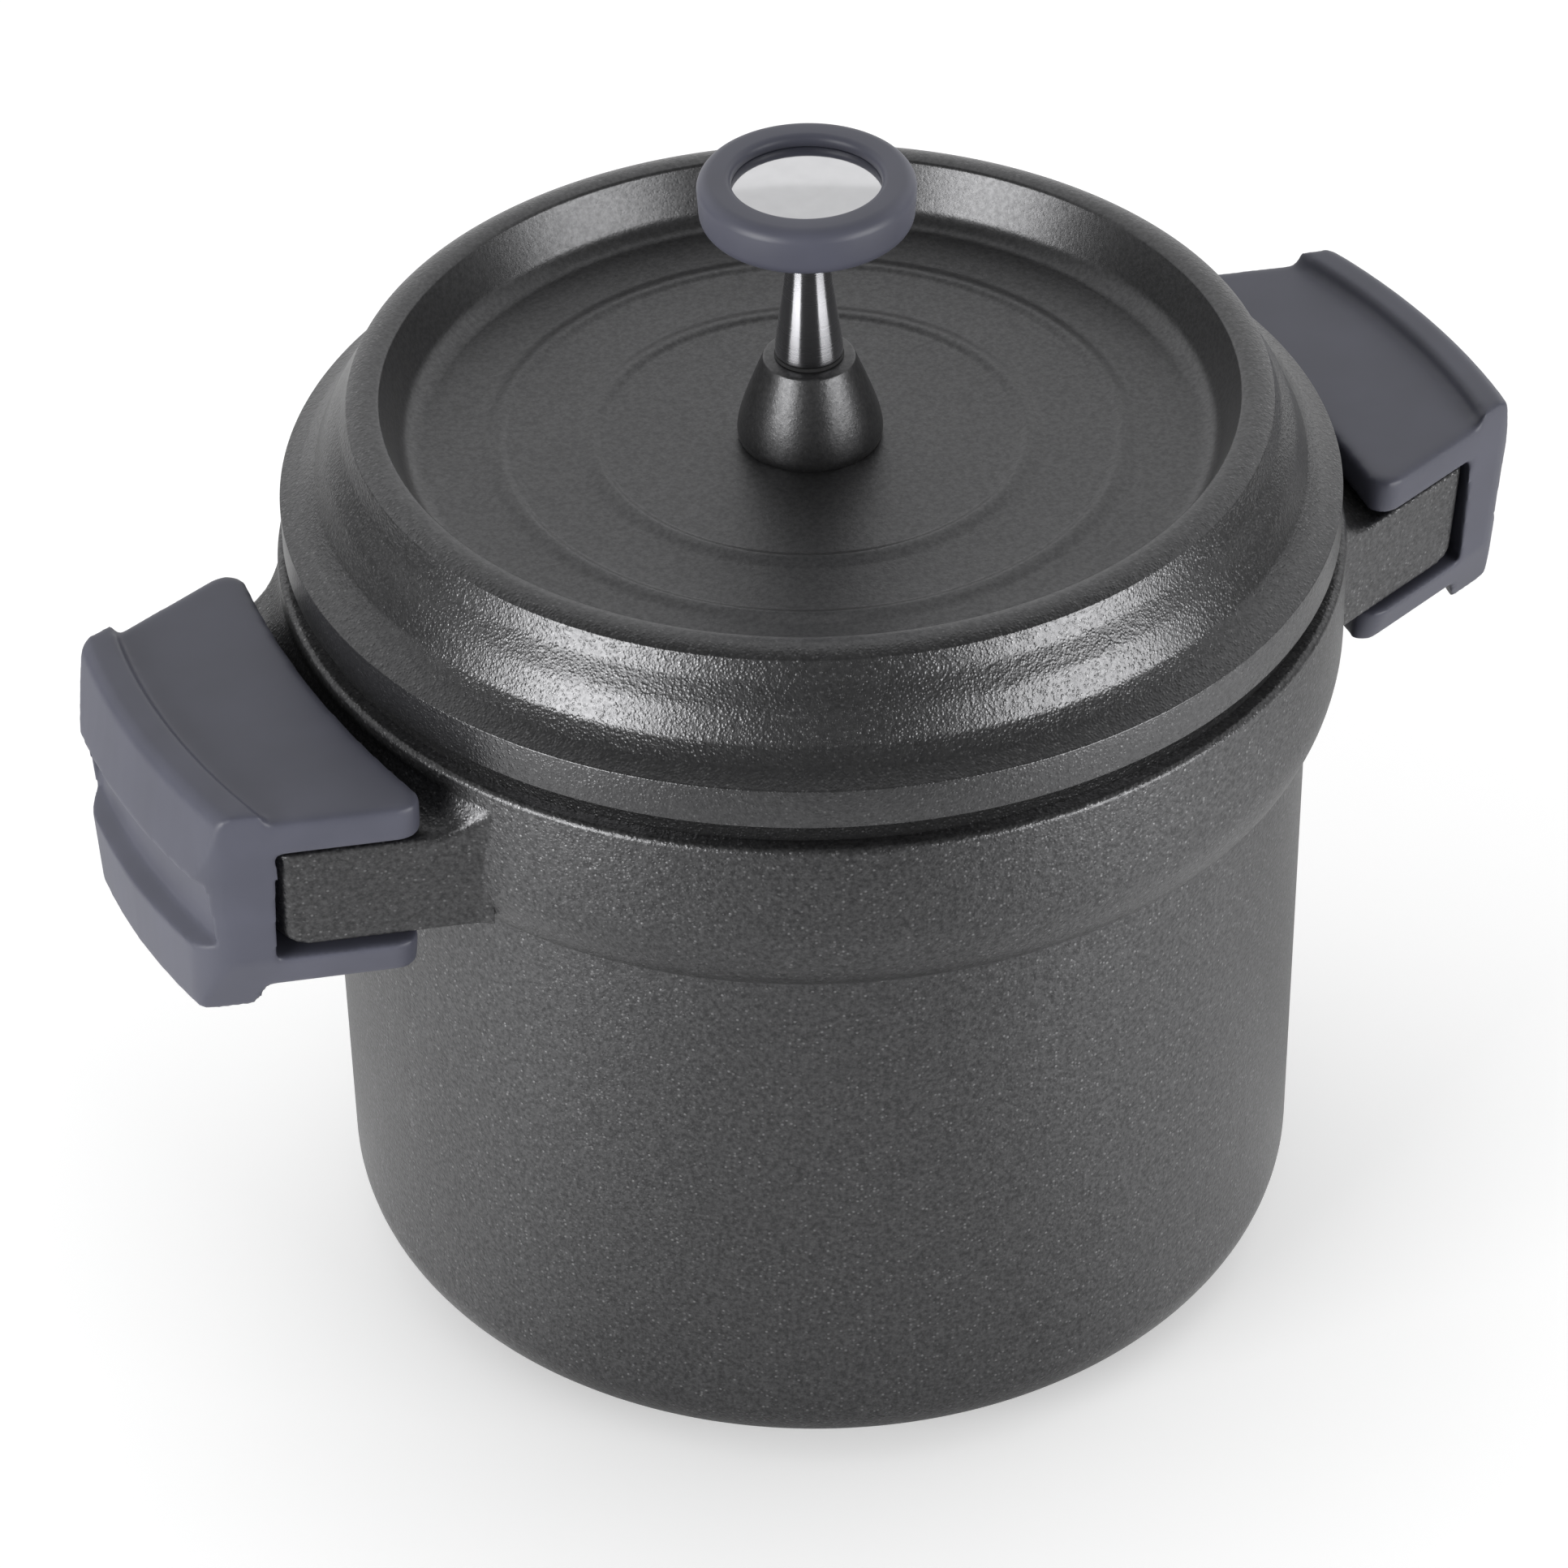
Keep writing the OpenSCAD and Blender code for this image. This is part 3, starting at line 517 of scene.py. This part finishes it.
def lidProfile(p):
    rimZ, dishZ, wall, soft = p["rimZ"], p["dishZ"], p["wall"], p["edgeSoft"]
    spigotR, seatR, flangeR, flangeZ = p["spigotR"], p["seatR"], p["flangeR"], p["flangeZ"]
    spigotZ = rimZ - p["spigotH"]
    points = [(spigotR - wall, spigotZ)]
    points += [(spigotR - inwards, spigotZ + up) for inwards, up in p["leadIn"]]
    points += [(spigotR, rimZ), (seatR, rimZ), (seatR, flangeZ - p["seatSoft"]),
               (seatR + p["seatSoft"], flangeZ)]
    points += arc(flangeR - soft, flangeZ + soft, soft, -90, 0, 4)
    points += arc(flangeR - soft, p["flangeTopZ"] - soft, soft, 0, p["bell"][0][1], 4)
    bell = leaningRun(points[-1], p["bell"])
    points += bell[1:]
    points += arcOn(points, p["crestSoft"], p["bell"][-1][1], p["crestLean"][0], 4)
    points += arcOn(points, p["crestCrown"], *p["crestLean"], 10)
    points += arcOn(points, p["lipSoft"], p["crestLean"][1], 180 - p["dishLean"], 6)
    (r, topZ), lean, cove = points[-1], math.radians(p["dishLean"]), p["dishSoft"]
    lowZ = dishZ + cove * (1 - math.sin(lean))
    lowR = r - (topZ - lowZ) * math.tan(lean)
    points += arc(lowR - cove * math.cos(lean), dishZ + cove, cove, -p["dishLean"], -90, 12)
    half = p["ringSteps"]
    for ring in (p["outerRing"], p["innerRing"]):
        for i in range(2 * half + 1):
            width = p["ringOut"] if i < half else p["ringIn"]
            points.append((ring + width * (1 - i / half),
                           dishZ + p["ringH"] * (1 - math.cos(math.pi * i / half)) / 2))
    footR, topR, bossZ = p["bossFootR"], p["bossTopR"], dishZ + p["bossH"]
    (flareR, flareH), (leanR, leanShare) = p["bossFlare"], p["bossLean"]
    points += bez((footR - p["bossSoft"], dishZ), (footR + flareR, dishZ + flareH),
                  (footR - leanR, dishZ + p["bossH"] * leanShare),
                  (topR, bossZ - p["bossSoft"]), 26)
    points += [(topR - inwards, bossZ - down) for inwards, down in p["bossEdge"]]
    points += [(p["holeR"], bossZ), (p["holeR"], p["pocketZ"]), (p["pocketR"], p["pocketZ"])]
    # the underside, which follows the top face at the wall's thickness
    underZ, crestR = dishZ - wall, bell[-1][0]
    points += [(p["pocketR"], underZ), (lowR - cove, underZ)]
    points += [(lowR + out, underZ + up) for out, up in p["underCove"]]
    points += [(crestR + out, topZ - wall + up) for out, up in p["underCrest"]]
    under = [(r - wall - p["underBell"], z - wall) for r, z in bell
             if z > p["flangeTopZ"] + p["underSkip"]]
    points += under[::-p["underStep"]]
    points += [(spigotR - wall, p["flangeTopZ"] - p["underFlange"])]
    return points


lidShell = turnProfile("lid_shell", lidProfile(lid), lid["steps"], closed=True, sharp=50)
finishPiece(lidShell, "lid", "lid_coating", lidCoating, "lid")
print("lid made")


knob = {
    "footR": 8.0, "waistR": 5.1, "waistAt": 0.74, "stemH": 34, "flare": 3,
    "screwR": 2.56, "screwBite": 14, "topBore": 2.06, "topBite": 11,
    "ringR": 25.2, "openingR": 17.3, "soft": 3.2, "openingSoft": 1.6, "headR": 20.55,
    "neckR": 11.75, "neckSoft": 0.4, "taper": 0.4, "lip": 1.4, "lipSoft": 0.25,
    "crown": 0.5, "discPlay": 0.07, "discUnder": 0.3, "discSoft": 0.2,
    # the foot's edge: inwards from its face, up from its end; and the drill's points in the bores
    "footEdge": [(0.6, 0), (0.15, 0.2), (0, 0.7)], "screwTip": 0.5, "topTip": 0.4,
    "steps": 128,
}
gasket = {"over": 0.15, "soft": 0.3, "clear": 0.06}  # clear of the stem's foot, which turns on it
stemLow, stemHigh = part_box("knob_stem")
ringLow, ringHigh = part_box("knob_ring")
discLow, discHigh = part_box("knob_disc")
gasketLow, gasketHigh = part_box("stem_gasket")


def stemProfile(p):
    z0, z1 = stemLow.z / mm, stemHigh.z / mm
    footR, waistR, waistZ = p["footR"], p["waistR"], z0 + p["stemH"] * p["waistAt"]
    biteZ, topBiteZ = z0 + p["screwBite"], z1 - p["topBite"]
    bore = [(0, biteZ + p["screwTip"]), (p["screwR"], biteZ), (p["screwR"], z0)]
    foot = [(footR - inwards, z0 + up) for inwards, up in p["footEdge"]]
    body = bez((footR, z0 + 1.2), (footR - 0.8, z0 + p["stemH"] * 0.25),
               (waistR + 0.6, z0 + p["stemH"] * 0.5), (waistR, waistZ), 24)
    neck = bez((waistR, waistZ + 0.5), (waistR, z1 - 4), (waistR + 0.8, z1 - 1),
               (waistR + p["flare"], z1), 14)
    top = [(p["topBore"], z1), (p["topBore"], topBiteZ), (0, topBiteZ - p["topTip"])]
    return bore + foot + body + neck + top


def gasketProfile(p):
    low, high, soft = gasketLow.z / mm, gasketHigh.z / mm - p["clear"], p["soft"]
    r, hole = knob["footR"] + p["over"], knob["screwR"]
    return [(hole, low), (r - soft, low), (r, low + soft), (r, high - soft), (r - soft, high),
            (hole, high)]


def ringProfile(p):
    low, high = ringLow.z / mm, ringHigh.z / mm
    top = discHigh.z / mm - p["crown"]
    r, soft, opening, small = p["ringR"], p["soft"], p["openingR"], p["openingSoft"]
    neckR, neckSoft, lipSoft = p["neckR"], p["neckSoft"], p["lipSoft"]
    points = [(neckR, low + p["lip"]), (neckR, low + neckSoft), (neckR + neckSoft, low)]
    points += arc(r - soft - p["taper"], low + soft, soft, -90, 0, 10)
    points += arc(r - soft, high - soft, soft, 4, 90, 10)
    points += arc(opening + small, high - small, small, 90, 180, 8)
    points += [(opening, top + lipSoft), (opening + lipSoft, top), (p["headR"], top),
               (p["headR"], low + p["lip"])]
    return points


def discProfile(p):  # stamped disc, crowned where the ring leaves it bare
    low, high = discLow.z / mm, discHigh.z / mm
    edgeR, half, soft = p["headR"] - p["discPlay"], p["openingR"] - p["discUnder"], p["discSoft"]
    crownR = (half ** 2 + p["crown"] ** 2) / (2 * p["crown"])
    start = math.degrees(math.acos(half / crownR))
    edge = [(0, low), (edgeR - soft, low), (edgeR, low + soft), (edgeR, high - p["crown"])]
    return edge + arc(0, high - crownR, crownR, start, 90, 24)


stem = turnProfile("polished_stem", stemProfile(knob), knob["steps"], sharp=50)
finishPiece(stem, "knob", "polished_steel", stemSteel, "knob_stem")
stemSeal = turnProfile("stem_seal", gasketProfile(gasket), knob["steps"], closed=True)
finishPiece(stemSeal, "lid", "black_rubber", rubber, "stem_gasket")
disc = turnProfile("crowned_disc", discProfile(knob), knob["steps"], sharp=50)
finishPiece(disc, "knob", "polished_steel", polishedSteel, "knob_disc")
ring = turnProfile("knob_grip_ring", ringProfile(knob), knob["steps"], closed=True, sharp=60)
finishPiece(ring, "knob", "silicone", silicone, "knob_ring")
print("knob made")


grip = {
    "voxel": 0.7, "passes": 3, "endPasses": 26, "softBand": 4.5, "softFade": 1.5,
    "cornerU": 124.5, "cornerV": 54, "endTurn": 17.93, "endDraft": 5, "plateZ": 193,
    "innerArcR": 283.0, "innerArcU": -153.3, "lipU": 167, "lipShare": 0.35,
    "plateLowZ": 180, "flangeZ": 152, "flangeShare": 0.5,
}


def plateEdge(co):
    # 1 at the rim of the top plate, less at the lip's ends and at the lower flange, 0 elsewhere
    u, v, z = abs(co.x) / mm, abs(co.y) / mm, co.z / mm
    drop = (grip["plateZ"] - z) * math.tan(math.radians(grip["endDraft"]))
    turned = (u - grip["cornerU"]) * math.tan(math.radians(grip["endTurn"]))
    fromEnd = grip["cornerV"] - turned - drop - v
    fromPot = math.hypot(u - grip["innerArcU"], v) - grip["innerArcR"]
    near = min(max((grip["softBand"] - min(fromEnd, fromPot)) / grip["softFade"], 0), 1)
    if z > grip["plateLowZ"]:
        return near * (1 if u < grip["lipU"] else grip["lipShare"])
    return near * grip["flangeShare"] if z < grip["flangeZ"] else 0


for name, node in (("right_sleeve", "right_grip"), ("left_sleeve", "left_grip")):
    sleeve = softCopy(name, node, grip["voxel"], grip["passes"])
    easePiece(sleeve, grip["endPasses"], plateEdge)
    sleeve.data.shade_smooth()
    finishPiece(sleeve, node, "silicone", silicone, node)
    print(name, len(sleeve.data.polygons))


carried = {
    "heating_plate": plateSteel, "knob_head": polishedSteel, "head_screw": screwSteel,
    "seal_washer": rubber, "plain_washer": screwSteel, "spring_washer": screwSteel,
    "knob_screw": screwSteel,
}
for name, material in carried.items():
    data = nodes[name].data
    data.materials.clear()
    data.materials.append(material)
print("carried-over parts finished")


studio = {
    "floorSize": 1.4, "floorDrop": 0.0002, "floorColour": "#e8e8e8", "lift": 0.35,
    # how a gloss shows the floor: a painted shade, darker far in front, and a painted pool of
    # light, a glow at the sides where the softboxes stand
    "paintedShadeColour": "#b0b0b0", "paintedShadeFrom": 0.27, "paintedShadeTo": 0.40,
    "frontFrom": 0.55, "frontTo": 0.95, "paintedPool": 0.32, "paintedPoolBack": -0.35, "paintedPoolEdge": 0.1,
    # soft light of the room, towards the viewer and away from them
    "front": 0.16, "behind": 1.3, "turnAt": 0.7,
    # the room as a gloss shows it, and how its glow falls off by height
    "dim": 0.13, "glow": 0.85, "glowFrom": -0.25, "glowTo": 0.45,
    "glowHeights": [(0.02, grey(0)), (0.18, grey(1)), (0.72, grey(1)), (0.92, grey(0))],
    # the white backdrop behind the pot, as a gloss shows it: its width and its fall by height
    "narrow": 0.58, "wide": 0.88, "backdropTurn": -28.0,
    "backdropHeights": [(0.0, grey(1)), (0.524, grey(1)), (0.532, grey(0.80)), (0.80, grey(0.76)),
                        (0.99, grey(0.45))],
    "lampAway": 2.4, "lampLow": -0.35,
    # turn from the viewer in degrees, width, height, power
    "lamps": {
        "left_softbox": (-49.0, 1.40, 1.55, 59.0),
        "right_softbox": (58.0, 1.62, 1.35, 46.0),
    },
}
camera = {
    "place": (-0.5727083, -1.0789088, 1.0465416), "turn": (52.71854, 0.85254, -28.24835),
    "lens": 144.41, "sensor": 36, "clipEnd": 50,
}
viewFrom = math.atan2(camera["place"][1], camera["place"][0])  # the way to the viewer, from above


def paperFloorPaintedGloss(name):
    # matt white paper sweep; it is lifted towards white where it is seen, and keeps the shadow; a
    # gloss sees on it a painted pool of light at the sides and a painted shade far in front
    material, tree, place = newMaterial(name)
    path = addNode(tree, "ShaderNodeLightPath")
    gloss = path.outputs["Is Glossy Ray"]
    way = addNode(tree, "ShaderNodeVectorMath", {"operation": "NORMALIZE"}, {"Vector": place})
    ahead = addNode(tree, "ShaderNodeVectorMath",
                    {"operation": "DOT_PRODUCT", 1: (math.cos(viewFrom), math.sin(viewFrom), 0)},
                    {0: way.outputs[0]}).outputs["Value"]
    reach = addNode(tree, "ShaderNodeVectorMath", {"operation": "LENGTH"},
                    {"Vector": place}).outputs["Value"]
    eased = []
    for value, start, end, low, high in (
            (ahead, studio["frontFrom"], studio["frontTo"], studio["paintedPool"], 0.0),
            (ahead, studio["paintedPoolBack"], studio["paintedPoolEdge"], 0.0, 1.0),
            (ahead, studio["frontFrom"], studio["frontTo"], 0.0, 1.0),
            (reach, studio["paintedShadeFrom"], studio["paintedShadeTo"], 0.0, 1.0)):
        eased.append(addNode(tree, "ShaderNodeMapRange", {
            "From Min": start, "From Max": end, "To Min": low, "To Max": high,
            "interpolation_type": "SMOOTHSTEP"}, {"Value": value}).outputs[0])
    paintedPool, beside, inFront, away = eased
    # painted pool of light: in a gloss the floor glows beside the pot, standing in for the
    # softboxes' light there
    paintedPoolGlow = addNode(tree, "ShaderNodeMath", {"operation": "MULTIPLY"}, {0: paintedPool, 1: beside})
    seen = addNode(tree, "ShaderNodeMath", {"operation": "MULTIPLY", 1: studio["lift"]},
                   {0: path.outputs["Is Camera Ray"]})
    strength = addNode(tree, "ShaderNodeMath", {"operation": "MULTIPLY_ADD"},
                       {0: gloss, 1: paintedPoolGlow.outputs[0], 2: seen.outputs[0]})
    # painted shade: in a gloss the floor's colour turns darker far in front of the pot
    paintedShadeArea = addNode(tree, "ShaderNodeMath", {"operation": "MULTIPLY"}, {0: inFront, 1: away})
    shaded = addNode(tree, "ShaderNodeMath", {"operation": "MULTIPLY"},
                     {0: paintedShadeArea.outputs[0], 1: gloss})
    sheet = addNode(tree, "ShaderNodeMix",
                    {"data_type": "RGBA", 6: hexColour(studio["floorColour"]),
                     7: hexColour(studio["paintedShadeColour"])}, {"Factor": shaded.outputs[0]})
    paper = addNode(tree, "ShaderNodeBsdfDiffuse", {}, {"Color": sheet.outputs[2]})
    glow = addNode(tree, "ShaderNodeEmission", {"Color": grey(1)},
                   {"Strength": strength.outputs[0]})
    both = addNode(tree, "ShaderNodeAddShader", {}, {0: paper.outputs[0], 1: glow.outputs[0]})
    addNode(tree, "ShaderNodeOutputMaterial", {}, {"Surface": both.outputs[0]})
    return material


bm = bmesh.new()
bmesh.ops.create_grid(bm, x_segments=1, y_segments=1, size=studio["floorSize"] / 2)
bmesh.ops.translate(bm, verts=bm.verts, vec=(0, 0, -studio["floorDrop"]))
floor = addPiece("floor", bm)
floor.data.materials.append(paperFloorPaintedGloss("white paper with painted gloss light"))

world = bpy.data.worlds.new("studio")
scene.world = world
world.use_nodes = True
tree = world.node_tree
tree.nodes.clear()
path = addNode(tree, "ShaderNodeLightPath")
seen = path.outputs["Is Camera Ray"]
direction = addNode(tree, "ShaderNodeTexCoord").outputs["Generated"]
spin = addNode(tree, "ShaderNodeMapping",
               {"Rotation": (0, 0, math.radians(-studio["backdropTurn"]))}, {"Vector": direction})
axes = addNode(tree, "ShaderNodeSeparateXYZ", {}, {"Vector": spin.outputs[0]}).outputs
level = addNode(tree, "ShaderNodeCombineXYZ", {}, {"X": axes["X"], "Y": axes["Y"]})
heading = addNode(tree, "ShaderNodeVectorMath", {"operation": "NORMALIZE"},
                  {"Vector": level.outputs[0]})
course = addNode(tree, "ShaderNodeSeparateXYZ", {}, {"Vector": heading.outputs[0]}).outputs["Y"]
eased = []
for value, start, end, low, high in (
        (course, studio["narrow"], studio["wide"], 0.0, 1.0),
        (course, studio["glowFrom"], studio["glowTo"], 0.0, 1.0),
        (axes["Y"], -studio["turnAt"], studio["turnAt"], studio["front"], studio["behind"])):
    eased.append(addNode(tree, "ShaderNodeMapRange", {
        "From Min": start, "From Max": end, "To Min": low, "To Max": high,
        "interpolation_type": "SMOOTHSTEP"}, {"Value": value}).outputs[0])
inWidth, aside, sweep = eased
# the backdrop is seen straight on and, within its width, in a gloss
mirrored = addNode(tree, "ShaderNodeMath", {"operation": "MAXIMUM"},
                   {0: path.outputs["Is Glossy Ray"],
                    1: path.outputs["Is Transmission Ray"]}).outputs[0]
shown = addNode(tree, "ShaderNodeMath", {"operation": "MULTIPLY"}, {0: mirrored, 1: inWidth})
white = addNode(tree, "ShaderNodeMath", {"operation": "MAXIMUM"}, {0: shown.outputs[0], 1: seen})
fall = setRamp(addNode(tree, "ShaderNodeValToRGB", {}, {"Fac": axes["Z"]}),
               studio["backdropHeights"])
seenFall = addNode(tree, "ShaderNodeMath", {"operation": "MAXIMUM"}, {0: fall, 1: seen})
# the room gives a soft even light, and a gloss shows it dim in front and glowing behind
heights = setRamp(addNode(tree, "ShaderNodeValToRGB", {}, {"Fac": axes["Z"]}),
                  studio["glowHeights"])
glowing = addNode(tree, "ShaderNodeMath", {"operation": "MULTIPLY"}, {0: aside, 1: heights})
wash = addNode(tree, "ShaderNodeMapRange", {"To Min": studio["dim"], "To Max": studio["glow"]},
               {"Value": glowing.outputs[0]})
soft, dim, backdrop = [
    addNode(tree, "ShaderNodeBackground", {"Color": grey(1)}, {"Strength": strength}).outputs[0]
    for strength in (sweep, wash.outputs[0], seenFall.outputs[0])]
room = addNode(tree, "ShaderNodeMixShader", {}, {"Fac": mirrored, 1: soft, 2: dim})
blend = addNode(tree, "ShaderNodeMixShader", {},
                {"Fac": white.outputs[0], 1: room.outputs[0], 2: backdrop})
addNode(tree, "ShaderNodeOutputWorld", {}, {"Surface": blend.outputs[0]})

for name, (turn, wide, tall, power) in studio["lamps"].items():
    light = bpy.data.lights.new(name, "AREA")
    light.shape = "RECTANGLE"
    light.size = wide
    light.size_y = tall
    light.energy = power
    lamp = bpy.data.objects.new(name, light)
    scene.collection.objects.link(lamp)
    a = viewFrom + math.radians(turn)
    middleZ = studio["lampLow"] + tall / 2
    lamp.location = (studio["lampAway"] * math.cos(a), studio["lampAway"] * math.sin(a), middleZ)
    inwards = Vector((0, 0, middleZ)) - lamp.location
    lamp.rotation_euler = inwards.to_track_quat("-Z", "Y").to_euler()

data = bpy.data.cameras.new("camera")
data.sensor_width = camera["sensor"]
data.lens = camera["lens"]
data.clip_end = camera["clipEnd"]
eye = bpy.data.objects.new("camera", data)
scene.collection.objects.link(eye)
eye.location = camera["place"]
eye.rotation_euler = [math.radians(v) for v in camera["turn"]]
scene.camera = eye
scene.view_settings.view_transform = "Standard"
print("studio set")

bpy.context.view_layer.update()
